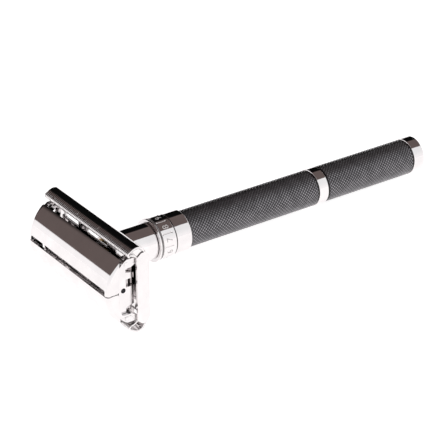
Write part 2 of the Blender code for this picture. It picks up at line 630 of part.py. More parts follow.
def door(group, edge, side):
    """One domed door with its two ears and cam pins."""
    half = DOOR_LENGTH / 2
    seam = CREST_SEAM / 2
    shell = dome_arc(0, seam, DOOR_EDGE, 16)
    shell += dome_arc(DOOR_SHEET, seam, DOOR_EDGE - DOOR_BEVEL, 14)[::-1]
    ear_inset = DOOR_SHEET + SEAT
    cam = (PIVOT_DEPTH + CAM_DEPTH, PIVOT_OFFSET + CAM_OFFSET)
    boss = CAM_PIN + CAM_BOSS_WALL
    ear_edge = cam[1] + boss
    ear = dome_arc(ear_inset, seam, ear_edge, 12) + arc(cam, boss, 90, -90, 8)[1:]
    ear += [(cam[0] - boss, cam[1] - boss - CAM_BOSS_SLOPE),
            (EAR_SKIRT + EAR_SKIRT_CORNER, EAR_SKIRT_REACH + EAR_SKIRT_CORNER),
            (EAR_SKIRT, EAR_SKIRT_REACH), (EAR_SKIRT, seam)]
    pivot = (PIVOT_DEPTH, PIVOT_OFFSET)
    holes = [ring(pivot, HINGE_PIN + RUN), ring(cam, CAM_PIN + SEAT, 16)]
    outlines = [shell, ear] + holes
    if side < 0:
        outlines = [flipped(points) for points in outlines]
    panel = plate(group, f"{edge}_door", outlines[:1], -half, half, CHROME)
    if side > 0:
        slot = CREST_SLOT_LENGTH / 2
        cut(panel, block(group, "crest_slot", (-DOOR_SHEET, -slot, -CREST_SLOT),
                         (2 * DOOR_SHEET, slot, CREST_SLOT)))
    smooth(panel)
    for end, sign in (("left", 1), ("right", -1)):
        low, high = sorted((sign * EAR_INNER, sign * EAR_OUTER))
        plate(group, f"{edge}_{end}_ear", outlines[1:], low, high, CHROME)
        low, high = sorted((sign * (WALL_INNER - LAP), sign * (EAR_OUTER - RIVET_PROUD)))
        pin(group, f"{edge}_{end}_cam_pin", CAM_PIN, low, high, (cam[0], 0, side * cam[1]), STEEL,
            sides=16)


root = Group("razor_frame")
root.empty.location = (-(FRONT + REAR) / 2, 0, TABLE)
root.empty.rotation_euler = (0, LEAN, 0)
thrust_face = handle(root)
dial(Group("dial_axis", root, (FOLLOWER_PLACE, 0, 0)))
guard(Group("guard_travel", root, (GUARD_DEPTH, 0, 0)))
knob(Group("knob_axis", root, (KNOB_START, 0, 0)), thrust_face)
lift_travel = Group("lifter_travel", root, (BAR_MIDDLE, 0, 0))
lifter(lift_travel)
door(Group("upper_door_pivot", lift_travel, (PIVOT_DEPTH, 0, PIVOT_OFFSET)), "upper", 1)
door(Group("lower_door_pivot", lift_travel, (PIVOT_DEPTH, 0, -PIVOT_OFFSET)), "lower", -1)
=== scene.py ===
"""Finished look of an adjustable twist-to-open double-edge safety razor with a long black handle.

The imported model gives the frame. Razor coordinates are used throughout: x runs along the handle
from the head's crest, y along the cutting edges, z away from the table, all in metres. The razor
leans on its guard and its cap, and RazorFrame turns razor coordinates into the model's own.
"""
import json
import logging
import math
from contextlib import contextmanager
from dataclasses import dataclass
from enum import Enum
from typing import Iterator, Sequence

import bmesh
import bpy
import numpy as np
from mathutils import Matrix, Vector

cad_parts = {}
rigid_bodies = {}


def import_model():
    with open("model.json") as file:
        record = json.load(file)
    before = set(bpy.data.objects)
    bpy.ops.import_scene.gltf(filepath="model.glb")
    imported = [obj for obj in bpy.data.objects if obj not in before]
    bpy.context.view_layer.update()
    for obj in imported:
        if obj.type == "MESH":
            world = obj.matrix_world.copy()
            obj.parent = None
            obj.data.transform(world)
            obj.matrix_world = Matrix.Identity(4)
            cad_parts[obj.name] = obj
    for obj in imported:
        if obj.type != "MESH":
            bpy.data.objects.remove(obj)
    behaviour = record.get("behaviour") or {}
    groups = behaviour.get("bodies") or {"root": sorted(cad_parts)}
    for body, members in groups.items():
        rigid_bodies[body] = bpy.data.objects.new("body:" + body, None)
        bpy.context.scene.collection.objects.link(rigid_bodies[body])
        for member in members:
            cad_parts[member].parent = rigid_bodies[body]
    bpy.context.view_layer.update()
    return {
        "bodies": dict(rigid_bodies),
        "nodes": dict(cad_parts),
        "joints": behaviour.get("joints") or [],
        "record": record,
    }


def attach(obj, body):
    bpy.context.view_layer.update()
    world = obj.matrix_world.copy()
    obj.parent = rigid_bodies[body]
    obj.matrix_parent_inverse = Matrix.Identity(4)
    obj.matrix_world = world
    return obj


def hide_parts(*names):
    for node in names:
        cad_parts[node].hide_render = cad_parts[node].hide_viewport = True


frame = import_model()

MM = 0.001
log = logging.getLogger("razor")

Corner = tuple[float, float, float]
Colour = tuple[float, float, float]
Point = tuple[float, float]
Socket = bpy.types.NodeSocket


class Body(Enum):
    """The bodies that move, by their names in the model."""

    HANDLE = "handle"
    DIAL = "dial"
    GUARD = "guard"
    KNOB = "knob"
    LIFTER = "lifter"
    UPPER_DOOR = "upper_door"
    LOWER_DOOR = "lower_door"


class Slot(Enum):
    """The material slots of the model's record."""

    DOOR_CHROME = "door_chrome"
    HEAD_CHROME = "head_chrome"
    HANDLE_CHROME = "handle_chrome"
    BLACK_GRIP = "black_grip"
    BRASS = "brass"
    STEEL = "steel"


class End(Enum):
    """The two ends of the head, with the side of the razor's middle that each is on."""

    LEFT = 1
    RIGHT = -1

    @property
    def word(self) -> str:
        """The end's name as the node names have it."""
        return self.name.lower()


@dataclass(frozen=True)
class Extent:
    """The box of a node in razor coordinates."""

    low: np.ndarray
    high: np.ndarray

    @property
    def start(self) -> float:
        """Distance from the crest to the node's near end."""
        return float(self.low[0])

    @property
    def end(self) -> float:
        """Distance from the crest to the node's far end."""
        return float(self.high[0])

    @property
    def radius(self) -> float:
        """Half the node's width across the handle."""
        return float(self.high[1] - self.low[1]) / 2


class RazorFrame:
    """Razor coordinates, taken from the knob's axis and the doors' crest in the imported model."""

    def __init__(self, loaded: dict) -> None:
        """Find the axes.
        """
        self.nodes = loaded["nodes"]
        joints = loaded["record"]["behaviour"]["joints"]
        knob = next(joint for joint in joints if joint["name"] == "knob_turn")
        along = np.array(knob["axis"], float)
        along /= np.linalg.norm(along)
        across = np.array((0.0, 1.0, 0.0))
        self.axes = np.stack((along, across, np.cross(along, across)))
        self.origin = np.array(knob["pos_m"], float)
        crest = min(self.extent(node).start for node in ("upper_door", "lower_door"))
        self.origin = self.origin + crest * along

    def to_model(self, points: np.ndarray) -> np.ndarray:
        """Turn razor coordinates into the model's."""
        return points @ self.axes + self.origin

    def extent(self, node: str) -> Extent:
        """The box of a node in razor coordinates.

        Args:
            node: the node's name.

        Returns:
            Its lowest and highest corners.
        """
        mesh = self.nodes[node].data
        places = np.empty(len(mesh.vertices) * 3)
        mesh.vertices.foreach_get("co", places)
        places = (places.reshape(-1, 3) - self.origin) @ self.axes.T
        return Extent(places.min(0), places.max(0))


RAZOR = RazorFrame(frame)


# Outlines
def rounded(corners: Sequence[Corner], closed: bool = True, steps: int = 5,
            support: float = 0.03 * MM) -> np.ndarray:
    """An outline whose corners are arcs.

    At each corner the arc touches both sides, so its middle lies on the corner's bisector at
    radius / cos(half the turn). A support point just before and after each arc keeps the flat
    beside it flat when the piece is shaded smooth.

    Args:
        corners: (u, v, arc radius) of each corner, in order.
        closed: whether the last corner joins the first.
        steps: segments in each arc.
        support: distance from an arc to its support points.

    Returns:
        The points, one row each.
    """
    places = np.array([(u, v) for u, v, _ in corners], float)
    count = len(places)
    pieces = []
    for index, (_, _, radius) in enumerate(corners):
        here = places[index]
        at_end = not closed and index in (0, count - 1)
        if radius <= 0 or at_end:
            pieces.append(here[None])
            continue
        before = here - places[index - 1]
        after = places[(index + 1) % count] - here
        before /= np.linalg.norm(before)
        after /= np.linalg.norm(after)
        turn = math.acos(float(np.clip(before @ after, -1, 1)))
        if turn < 1e-3:
            pieces.append(here[None])
            continue
        reach = radius * math.tan(turn / 2)
        bisector = (after - before) / np.linalg.norm(after - before)
        middle = here + bisector * radius / math.cos(turn / 2)
        first = (here - before * reach - middle) / radius
        last = (here + after * reach - middle) / radius
        share = np.linspace(0, 1, steps + 1)[:, None]
        arc = (np.sin((1 - share) * turn) * first + np.sin(share * turn) * last) / math.sin(turn)
        arc = middle + radius * arc
        lead = here - before * (reach + support)
        tail = here + after * (reach + support)
        pieces.append(np.vstack((lead, arc, tail)))
    return np.vstack(pieces)


def arc_points(middle: Point, radius: float, start: float, end: float, steps: int) -> np.ndarray:
    """Points on an arc; angles in degrees from the first axis towards the second."""
    angles = np.radians(np.linspace(start, end, steps + 1))
    return np.stack((middle[0] + radius * np.cos(angles), middle[1] + radius * np.sin(angles)), 1)


def ring_points(middle: Point, radius: float, sides: int = 32) -> np.ndarray:
    """A round outline."""
    return arc_points(middle, radius, 0, 360, sides)[:-1]


def flipped(points: np.ndarray) -> np.ndarray:
    """An (x, z) outline mirrored from the upper to the lower half of the head."""
    return points[::-1] * (1, -1)


# Meshes
def grid_quads(rows: int, columns: int, wrap_rows: bool = False,
               wrap_columns: bool = False) -> np.ndarray:
    """The quads of a grid of points, as (rows, columns, 4) point numbers.

    The quad at (i, j) joins points (i, j), (i, j + 1), (i + 1, j + 1) and (i + 1, j).

    Args:
        rows: points down the grid.
        columns: points across it.
        wrap_rows: whether the last row joins the first.
        wrap_columns: whether the last column joins the first.

    Returns:
        The point numbers.
    """
    i = np.arange(rows if wrap_rows else rows - 1)[:, None]
    j = np.arange(columns if wrap_columns else columns - 1)[None, :]
    down, right = (i + 1) % rows, (j + 1) % columns
    corners = (i * columns + j, i * columns + right, down * columns + right, down * columns + j)
    return np.stack(np.broadcast_arrays(*corners), -1)


def facing_out(points: np.ndarray, faces: np.ndarray) -> np.ndarray:
    """Faces turned over if the closed surface holds a negative volume.

    The volume is the sum over the faces' triangles of first . (second x third) / 6.

    Args:
        points: the surface's points.
        faces: its faces, as point numbers.

    Returns:
        The faces, pointing outwards.
    """
    volume = 0.0
    for k in range(1, faces.shape[1] - 1):
        a, b, c = points[faces[:, 0]], points[faces[:, k]], points[faces[:, k + 1]]
        volume += float(np.einsum("ij,ij->i", a, np.cross(b, c)).sum())
    return faces if volume > 0 else faces[:, ::-1]


def make_mesh(name: str, points: np.ndarray, faces: np.ndarray) -> bpy.types.Mesh:
    """A mesh from razor coordinates and faces that all have the same number of sides.

    Args:
        name: the mesh's name.
        points: one row each.
        faces: point numbers, one row for each face.

    Returns:
        The mesh, in model coordinates.
    """
    mesh = bpy.data.meshes.new(name)
    count, sides = faces.shape
    mesh.vertices.add(len(points))
    mesh.vertices.foreach_set("co", RAZOR.to_model(points).astype(np.float32).ravel())
    mesh.loops.add(count * sides)
    mesh.loops.foreach_set("vertex_index", faces.astype(np.int32).ravel())
    mesh.polygons.add(count)
    mesh.polygons.foreach_set("loop_start", np.arange(0, count * sides, sides, dtype=np.int32))
    mesh.update(calc_edges=True)
    mesh.validate()
    return mesh


@contextmanager
def edited(mesh: bpy.types.Mesh) -> Iterator[bmesh.types.BMesh]:
    """A mesh opened for editing, written back at the end.

    Args:
        mesh: the mesh.

    Yields:
        It, open.
    """
    body = bmesh.new()
    body.from_mesh(mesh)
    yield body
    body.to_mesh(mesh)
    body.free()


def merge_doubles(mesh: bpy.types.Mesh, distance: float = 1e-7) -> None:
    """Close a mesh's poles and seams.

    Args:
        mesh: the mesh, changed in place.
        distance: how near two points are merged.
    """
    with edited(mesh) as body:
        bmesh.ops.remove_doubles(body, verts=body.verts, dist=distance)
        loose = [vertex for vertex in body.verts if not vertex.link_faces]
        bmesh.ops.delete(body, geom=loose, context="VERTS")


def turned_mesh(name: str, outline: np.ndarray, sides: int = 128) -> bpy.types.Mesh:
    """A surface of revolution about the handle's axis.

    At angle t round the handle, the outline's (distance, radius) is the point
    (distance, radius * sin t, radius * cos t). An outline that touches the axis is open and starts
    and ends there; any other is closed.

    Args:
        name: the mesh's name.
        outline: (distance, radius) rows.
        sides: faces round the handle.

    Returns:
        The closed mesh.
    """
    solid = float(outline[:, 1].min()) < 1e-9
    angle = np.linspace(0, 2 * np.pi, sides, endpoint=False)
    along = np.broadcast_to(outline[:, :1], (len(outline), sides))
    grid = np.stack((along, outline[:, 1:] * np.sin(angle), outline[:, 1:] * np.cos(angle)), -1)
    points = grid.reshape(-1, 3)
    faces = grid_quads(len(outline), sides, not solid, True).reshape(-1, 4)
    mesh = make_mesh(name, points, facing_out(points, faces))
    if solid:
        merge_doubles(mesh)
    return mesh


def curve_mesh(curve: bpy.types.Curve) -> bpy.types.Mesh:
    """The mesh of a flat curve or a text, in its own flat coordinates.

    Args:
        curve: the curve or text.

    Returns:
        Its mesh.
    """
    shape = bpy.data.objects.new(curve.name, curve)
    bpy.context.scene.collection.objects.link(shape)
    seen = shape.evaluated_get(bpy.context.evaluated_depsgraph_get())
    mesh = bpy.data.meshes.new_from_object(seen)
    bpy.data.objects.remove(shape)
    return mesh


def flat_mesh(name: str, outlines: Sequence[np.ndarray], low: float,
              high: float) -> bpy.types.Mesh:
    """A flat piece between two y planes.

    Args:
        name: the mesh's name.
        outlines: (x, z) outlines; those after the first are holes.
        low: the lower y plane.
        high: the upper y plane.

    Returns:
        The closed mesh, in model coordinates.
    """
    curve = bpy.data.curves.new(name, "CURVE")
    curve.dimensions = "2D"
    curve.fill_mode = "BOTH"
    curve.extrude = abs(high - low) / 2
    for outline in outlines:
        spline = curve.splines.new("POLY")
        spline.points.add(len(outline) - 1)
        rows = np.zeros((len(outline), 4), np.float32)
        rows[:, :2] = outline
        rows[:, 3] = 1
        spline.points.foreach_set("co", rows.ravel())
        spline.use_cyclic_u = True
    mesh = curve_mesh(curve)
    merge_doubles(mesh, 1e-6)
    upright = Matrix.Translation((0, (low + high) / 2, 0)) @ Matrix.Rotation(math.pi / 2, 4, "X")
    axes = Matrix([*RAZOR.axes.T.tolist()]).to_4x4()
    mesh.transform(Matrix.Translation(RAZOR.origin.tolist()) @ axes @ upright)
    mesh.name = name
    return mesh


def softened_mesh(node: str) -> bpy.types.Mesh:
    """A node's own shape with its triangles joined into flat faces, ready for rounded edges.

    Args:
        node: the node's name.

    Returns:
        The new mesh.
    """
    mesh = RAZOR.nodes[node].data.copy()
    with edited(mesh) as body:
        bmesh.ops.remove_doubles(body, verts=body.verts, dist=1e-6)
        bmesh.ops.dissolve_limit(body, angle_limit=math.radians(1), verts=body.verts,
                                 edges=body.edges)
    mesh.materials.clear()
    return mesh


# Finishes
class Wiring:
    """Short ways to place and join shader nodes in one tree."""

    def __init__(self, tree: bpy.types.NodeTree) -> None:
        """Keep the tree."""
        self.tree = tree

    def add(self, kind: str, **values: object) -> bpy.types.Node:
        """A node of a kind; values set its inputs or its own settings by name.

        Args:
            kind: the node's type, without its prefix.
            values: inputs or settings by name.

        Returns:
            The node.
        """
        node = self.tree.nodes.new("ShaderNode" + kind)
        for key, value in values.items():
            label = key.replace("_", " ").title()
            if label in node.inputs:
                node.inputs[label].default_value = value
            else:
                setattr(node, key, value)
        return node

    def join(self, source: Socket, target: Socket) -> None:
        """Link two sockets."""
        self.tree.links.new(source, target)

    def spread(self, source: Socket, low: float, high: float, start: float = 0.35,
               end: float = 0.65, shape: str = "LINEAR") -> Socket:
        """Stretch a value between start and end over low to high.

        Args:
            source: the value.
            low: what it gives at start.
            high: what it gives at end.
            start: the value's lower stop.
            end: the value's upper stop.
            shape: the step's interpolation.

        Returns:
            The new value.
        """
        node = self.add("MapRange", from_min=start, from_max=end, to_min=low, to_max=high,
                        interpolation_type=shape)
        self.join(source, node.inputs["Value"])
        return node.outputs["Result"]

    def mix(self, factor: Socket, first: Colour | Socket, second: Colour) -> Socket:
        """A colour between two, by a factor.

        Args:
            factor: 0 for the first, 1 for the second.
            first: a colour or a socket.
            second: a colour.

        Returns:
            The mixed colour.
        """
        node = self.add("Mix", data_type="RGBA")
        colours = [socket for socket in node.inputs if socket.type == "RGBA"]
        self.join(factor, node.inputs[0])
        if isinstance(first, tuple):
            colours[0].default_value = (*first, 1)
        else:
            self.join(first, colours[0])
        colours[1].default_value = (*second, 1)
        return next(socket for socket in node.outputs if socket.type == "RGBA")

    def sum(self, first: Socket, second: Socket, operation: str = "ADD") -> Socket:
        """Two values put together.

        Args:
            first: a value.
            second: a value.
            operation: how they are put together.

        Returns:
            The result.
        """
        node = self.add("Math", operation=operation)
        self.join(first, node.inputs[0])
        self.join(second, node.inputs[1])
        return node.outputs[0]


class Nodes(Wiring):
    """The nodes of one material, round its Principled shader."""

    def __init__(self, name: str, metallic: float = 0.0) -> None:
        """Start the material.

        Args:
            name: the material's name.
            metallic: how metallic it is.
        """
        self.material = bpy.data.materials.new(name)
        self.material.use_nodes = True
        super().__init__(self.material.node_tree)
        self.inputs = self.tree.nodes["Principled BSDF"].inputs
        self.inputs["Metallic"].default_value = metallic

    def noise(self, scale: float, detail: float = 3.0,
              stretch: tuple[float, float, float] = (1, 1, 1)) -> Socket:
        """Noise between 0 and 1 on Object coordinates; scale counts its lumps in a metre.

        Args:
            scale: lumps in a metre.
            detail: finer layers.
            stretch: a scale for each axis.

        Returns:
            The noise.
        """
        node = self.add("TexNoise", scale=scale, detail=detail)
        mapping = self.add("Mapping", scale=stretch)
        self.join(self.add("TexCoord").outputs["Object"], mapping.inputs["Vector"])
        self.join(mapping.outputs["Vector"], node.inputs["Vector"])
        return node.outputs["Fac"]

    def cloud(self, first: Colour, second: Colour, scale: float) -> None:
        """Give the surface two colours in soft clouds."""
        factor = self.spread(self.noise(scale, 4), 0, 1)
        self.join(self.mix(factor, first, second), self.inputs["Base Color"])

    def polish(self, rough: Point, scale: float) -> None:
        """Give the surface a roughness that drifts between two values."""
        self.join(self.spread(self.noise(scale), *rough), self.inputs["Roughness"])

    def bump(self, height: Socket, depth: float) -> None:
        """Raise the surface by a height in metres.

        Args:
            height: 0 to 1.
            depth: metres at 1.
        """
        node = self.add("Bump", strength=1.0, distance=depth)
        self.join(height, node.inputs["Height"])
        self.join(node.outputs["Normal"], self.inputs["Normal"])


@dataclass(frozen=True)
class Plating:
    """Bright chrome plate: a mirror with faint haze, polishing marks and rubbed edges."""

    name: str
    colour: Colour = (0.80, 0.775, 0.775)
    tint: Colour = (0.74, 0.715, 0.72)
    gloss: float = 0.035
    haze: float = 0.10
    rub: float = 0.10
    grain: float = 0.6e-6
    ripple: float = 3e-6

    def make(self) -> bpy.types.Material:
        """Build the material.

        Returns:
            The material.
        """
        nodes = Nodes(self.name, 1.0)
        nodes.cloud(self.colour, self.tint, 160)
        smear = nodes.spread(nodes.noise(420, 5, (0.35, 1, 1)), self.gloss, self.haze, 0.45, 0.8)
        edge = nodes.add("NewGeometry").outputs["Pointiness"]
        rough = nodes.sum(smear, nodes.spread(edge, 0, self.rub, 0.53, 0.62))
        nodes.join(rough, nodes.inputs["Roughness"])
        marks = nodes.noise(9000, 2, (0.04, 1, 1))
        marks = nodes.spread(marks, 0, self.grain / self.ripple, 0.3, 0.7)
        nodes.bump(nodes.sum(marks, nodes.noise(260, 1)), self.ripple)
        return nodes.material


@dataclass(frozen=True)
class Lacquer:
    """Satin black lacquer over a knurl: the grooves darkened as painted shade, the crests lighter
    as rubbed wear and painted highlight.
    """

    name: str
    # groove is the grooves' colour, darkened as painted shade; crest is the tips' lighter colour,
    # rubbed wear and painted highlight.
    groove: Colour = (0.022, 0.021, 0.023)
    crest: Colour = (0.25, 0.24, 0.255)
    satin: Point = (0.13, 0.24)

    def make(self) -> bpy.types.Material:
        """Build the material; `crest` is 1 on the knurl's tips and 0 in its grooves.

        Returns:
            The material.
        """
        nodes = Nodes(self.name, 0.9)
        nodes.inputs["Coat Weight"].default_value = 0.25
        nodes.inputs["Coat Roughness"].default_value = 0.2
        crest = nodes.add("Attribute", attribute_name="crest").outputs["Fac"]
        # The colour runs from the painted-shade groove colour to the crest colour, rubbed wear and
        # painted highlight, as the knurl rises.
        rubbed_and_lit = nodes.sum(nodes.spread(crest, 0, 1, 0.35, 0.98),
                           nodes.spread(nodes.noise(350, 4), 0.7, 1.15), "MULTIPLY")
        nodes.join(nodes.mix(rubbed_and_lit, self.groove, self.crest), nodes.inputs["Base Color"])
        nodes.polish(self.satin, 900)
        nodes.bump(nodes.noise(5000), 4e-6)
        return nodes.material


@dataclass(frozen=True)
class PlainMetal:
    """Turned metal without plate: brass or steel with tool marks round the handle."""

    name: str
    colour: Colour
    dull: Colour
    rough: Point = (0.22, 0.42)

    def make(self) -> bpy.types.Material:
        """Build the material.

        Returns:
            The material.
        """
        nodes = Nodes(self.name, 1.0)
        nodes.cloud(self.colour, self.dull, 300)
        nodes.polish(self.rough, 1200)
        nodes.bump(nodes.noise(6000, 2, (1, 0.05, 0.05)), 3e-6)
        return nodes.material


@dataclass(frozen=True)
class Enamel:
    """A dull flat colour: the dial's printed figures, and the dark ring in its index groove."""

    name: str
    colour: Colour
    worn: Colour
    rough: Point = (0.35, 0.6)

    def make(self) -> bpy.types.Material:
        """Build the material.

        Returns:
            The material.
        """
        nodes = Nodes(self.name)
        nodes.cloud(self.colour, self.worn, 1500)
        nodes.polish(self.rough, 2500)
        nodes.bump(nodes.noise(7000), 4e-6)
        return nodes.material


class Finishes:
    """Every material of the razor, made once."""

    def __init__(self) -> None:
        """Build the materials."""
        self.by_slot = {
            Slot.DOOR_CHROME: Plating("door_chrome", haze=0.07).make(),
            Slot.HEAD_CHROME: Plating("head_chrome", gloss=0.06, haze=0.16).make(),
            Slot.HANDLE_CHROME: Plating("handle_chrome").make(),
            Slot.BLACK_GRIP: Lacquer("black_lacquer").make(),
            Slot.BRASS: PlainMetal("turned_brass", (0.66, 0.50, 0.22), (0.48, 0.34, 0.15)).make(),
            # Steel is nearly black: painted shade for the dark inside of the head, where the lift
            # bar sits.
            Slot.STEEL: PlainMetal("steel_darkened_as_shade", (0.04, 0.04, 0.045), (0.02, 0.02, 0.022)).make(),
        }
        self.figures = Enamel("figure_enamel", (0.30, 0.28, 0.28), (0.48, 0.46, 0.46)).make()
        self.groove = Enamel("groove_dark_ring", (0.06, 0.055, 0.055), (0.16, 0.15, 0.15)).make()
        self.bright_steel = Plating("polished_steel", gloss=0.08, haze=0.2).make()

    def dress_nodes(self) -> None:
        """Give each carried-over node the material of its slot."""
        for part in frame["record"]["subparts"]:
            mesh = RAZOR.nodes[part["node"]].data
            material = self.by_slot[Slot(part["material_slot"])]
            if part["node"].endswith(("hinge_pin", "cam_pin")):
                material = self.bright_steel
            mesh.materials.clear()
            mesh.materials.append(material)


class Bench:
    """Finishes pieces: links, shades, rides and reports them."""

    def __init__(self, finishes: Finishes) -> None:
        """Keep the finishes."""
        self.finishes = finishes

    def finish(self, mesh: bpy.types.Mesh, body: Body, slot: Slot, replaces: Sequence[str] = (),
               crease: float = 32.0, material: bpy.types.Material | None = None
               ) -> bpy.types.Object:
        """Turn a mesh into a finished piece of the razor.

        Args:
            mesh: the piece's mesh, in model coordinates.
            body: the body that it rides on.
            slot: the slot whose finish it takes.
            replaces: nodes that it stands for.
            crease: edges that turn more than this many degrees are sharp.
            material: a finish other than the slot's own.

        Returns:
            The piece's object.
        """
        piece = bpy.data.objects.new(mesh.name, mesh)
        bpy.context.scene.collection.objects.link(piece)
        mesh.materials.append(material or self.finishes.by_slot[slot])
        mesh.shade_smooth()
        mesh.set_sharp_from_angle(angle=math.radians(crease))
        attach(piece, body.value)
        if replaces:
            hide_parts(*replaces)
        log.info("%s: %d faces on %s", piece.name, len(mesh.polygons), body.value)
        return piece

    @staticmethod
    def round_edges(piece: bpy.types.Object, width: float, segments: int = 2) -> None:
        """Round a piece's sharp edges.

        Args:
            piece: the object.
            width: how far the rounding reaches from each edge.
            segments: faces across the rounding.
        """
        bevel = piece.modifiers.new("rounded_edges", "BEVEL")
        bevel.width = width
        bevel.segments = segments
        bevel.limit_method = "ANGLE"
        bevel.angle_limit = math.radians(40)
        bevel.harden_normals = True

    @staticmethod
    def thicken(piece: bpy.types.Object, sheet: float, offset: float) -> None:
        """Give an open surface the thickness of its sheet; offset -1 puts it all inside.

        Args:
            piece: the object.
            sheet: the thickness.
            offset: where the sheet lies: -1 inside, 0 both sides.
        """
        wall = piece.modifiers.new("sheet", "SOLIDIFY")
        wall.thickness = sheet
        wall.offset = offset
        wall.use_even_offset = True


# Head
@dataclass
class Doors:
    """The two domed doors with their end plates."""

    radius: float = 12.9 * MM
    sheet: float = 0.9 * MM
    edge: float = 10.1 * MM
    half_length: float = 21.0 * MM
    slot: float = 1.7 * MM
    slot_reach: float = 19.6 * MM
    seam: float = 0.15 * MM
    corner: float = 1.6 * MM
    bend: float = 1.1 * MM
    inner_corner: float = 0.6 * MM
    ear_gap: float = 0.15 * MM
    ear_skirt: float = 4.1 * MM
    ear_skirt_reach: float = 4.5 * MM
    ear_foot: Point = (4.9 * MM, 7.25 * MM)
    relief: float = 0.55 * MM
    pivot: Point = (6.3 * MM, 8.6 * MM)
    cam: Point = (8.9 * MM, 8.9 * MM)
    cam_boss: float = 1.05 * MM
    pin_gap: float = 0.02 * MM

    def inner_edge(self, y: np.ndarray, side: int) -> np.ndarray:
        """Offset of a door's inner edge from the middle: the upper door's slot, or the seam.

        The slot's corners are quarter rounds: slot - corner * (1 - sqrt(1 - t^2)), where t runs
        from 0 to 1 over the corner. Past the slot's reach the edge stands at the seam.

        Args:
            y: places along the door.
            side: 1 upper, -1 lower.

        Returns:
            The offsets.
        """
        t = np.clip((np.abs(y) - self.slot_reach + self.inner_corner) / self.inner_corner, 0, 1)
        width = self.slot - self.inner_corner + self.inner_corner * np.sqrt(1 - t ** 2)
        return np.where((side < 0) | (np.abs(y) > self.slot_reach - 1e-9), self.seam, width)

    def outer_edge(self, y: np.ndarray) -> np.ndarray:
        """Offset of the shaving edge from the middle, rounded at the door's two ends."""
        past = np.clip(np.abs(y) - (self.half_length - self.corner), 0, self.corner)
        return self.edge - self.corner + np.sqrt(self.corner ** 2 - past ** 2)

    def panel(self, side: int) -> bpy.types.Mesh:
        """A door's outer skin.

        At angle a from the crest round the handle-wise middle of the dome, the skin is the point
        (radius * (1 - cos a), y, side * radius * sin a); a runs from the inner to the outer edge.
        At both ends the skin bends down: the radius shrinks by bend * (1 - cos b) as y grows by
        bend * sin b.

        Args:
            side: 1 for the upper door, -1 for the lower.

        Returns:
            The open skin.
        """
        bend = np.sin(np.linspace(0, np.pi / 2, 9))
        start = self.slot_reach - self.inner_corner
        half = np.concatenate((
            np.linspace(0, start - 1 * MM, 30, endpoint=False),
            np.linspace(start - 1 * MM, start, 5, endpoint=False),
            start + self.inner_corner * bend[:-1],
            (self.slot_reach - 2e-6, self.slot_reach),
            self.half_length - self.bend * (1 - np.sin(np.linspace(0, np.pi / 2, 13)))))
        y = np.concatenate((-half[:0:-1], half))
        inner = np.arcsin(self.inner_edge(y, side) / self.radius)
        outer = np.arcsin(self.outer_edge(y) / self.radius)
        share = np.linspace(0, 1, 41)[:, None]
        angle = inner + (outer - inner) * share
        past = np.clip(np.abs(y) - self.half_length + self.bend, 0, self.bend)
        radius = self.radius - self.bend + np.sqrt(self.bend ** 2 - past ** 2)
        x = self.radius - radius * np.cos(angle)
        grid = np.stack((x, np.broadcast_to(y, x.shape), side * radius * np.sin(angle)), -1)
        faces = grid_quads(*x.shape).reshape(-1, 4)
        if side > 0:
            faces = faces[:, ::-1]
        name = "upper_door_panel" if side > 0 else "lower_door_panel"
        return make_mesh(name, grid.reshape(-1, 3), faces)

    def ear_outline(self) -> np.ndarray:
        """The upper ear: under the door's skin, round the cam pin's boss and back to the seam.

        Returns:
            The closed outline.
        """
        inside = self.radius - self.sheet - self.ear_gap
        cam_x, cam_z = self.cam
        first = 180 - math.degrees(math.asin(self.seam / inside))
        last = 180 - math.degrees(math.asin((cam_z + self.cam_boss) / inside))
        top = arc_points((self.radius, 0), inside, first, last, 24)
        boss = arc_points(self.cam, self.cam_boss, 90, -90, 16)[1:]
        foot = rounded((
            (cam_x, cam_z - self.cam_boss, 0), (cam_x - self.cam_boss, self.ear_foot[1], 0.3 * MM),
            (*self.ear_foot, 0.5 * MM), (self.ear_skirt, self.ear_skirt_reach, 0.8 * MM),
            (self.ear_skirt, self.relief, 0)), closed=False)[1:]
        relief = arc_points((self.ear_skirt, 0), self.relief, 90, 165, 8)[1:]
        return np.vstack((top, boss, foot, relief))

    def build(self, bench: Bench) -> None:
        """Make both doors and their four ears.

        Args:
            bench: finishes the pieces.
        """
        for side, body in ((1, Body.UPPER_DOOR), (-1, Body.LOWER_DOOR)):
            panel = bench.finish(self.panel(side), body, Slot.DOOR_CHROME, (body.value,))
            bench.thicken(panel, self.sheet, -1.0)
            bench.round_edges(panel, 0.16 * MM, 3)
            edge = body.value.split("_")[0]
            outlines = [self.ear_outline()]
            for place, pin in ((self.pivot, "hinge_pin"), (self.cam, "cam_pin")):
                box = RAZOR.extent(f"{edge}_right_{pin}")
                outlines.append(ring_points(place, (box.end - box.start) / 2 + self.pin_gap))
            if side < 0:
                outlines = [flipped(points) for points in outlines]
            for end in End:
                node = f"{edge}_{end.word}_ear"
                box = RAZOR.extent(node)
                mesh = flat_mesh(node + "_plate", outlines, box.low[1], box.high[1])
                ear = bench.finish(mesh, body, Slot.DOOR_CHROME, (node,))
                bench.round_edges(ear, 0.05 * MM)


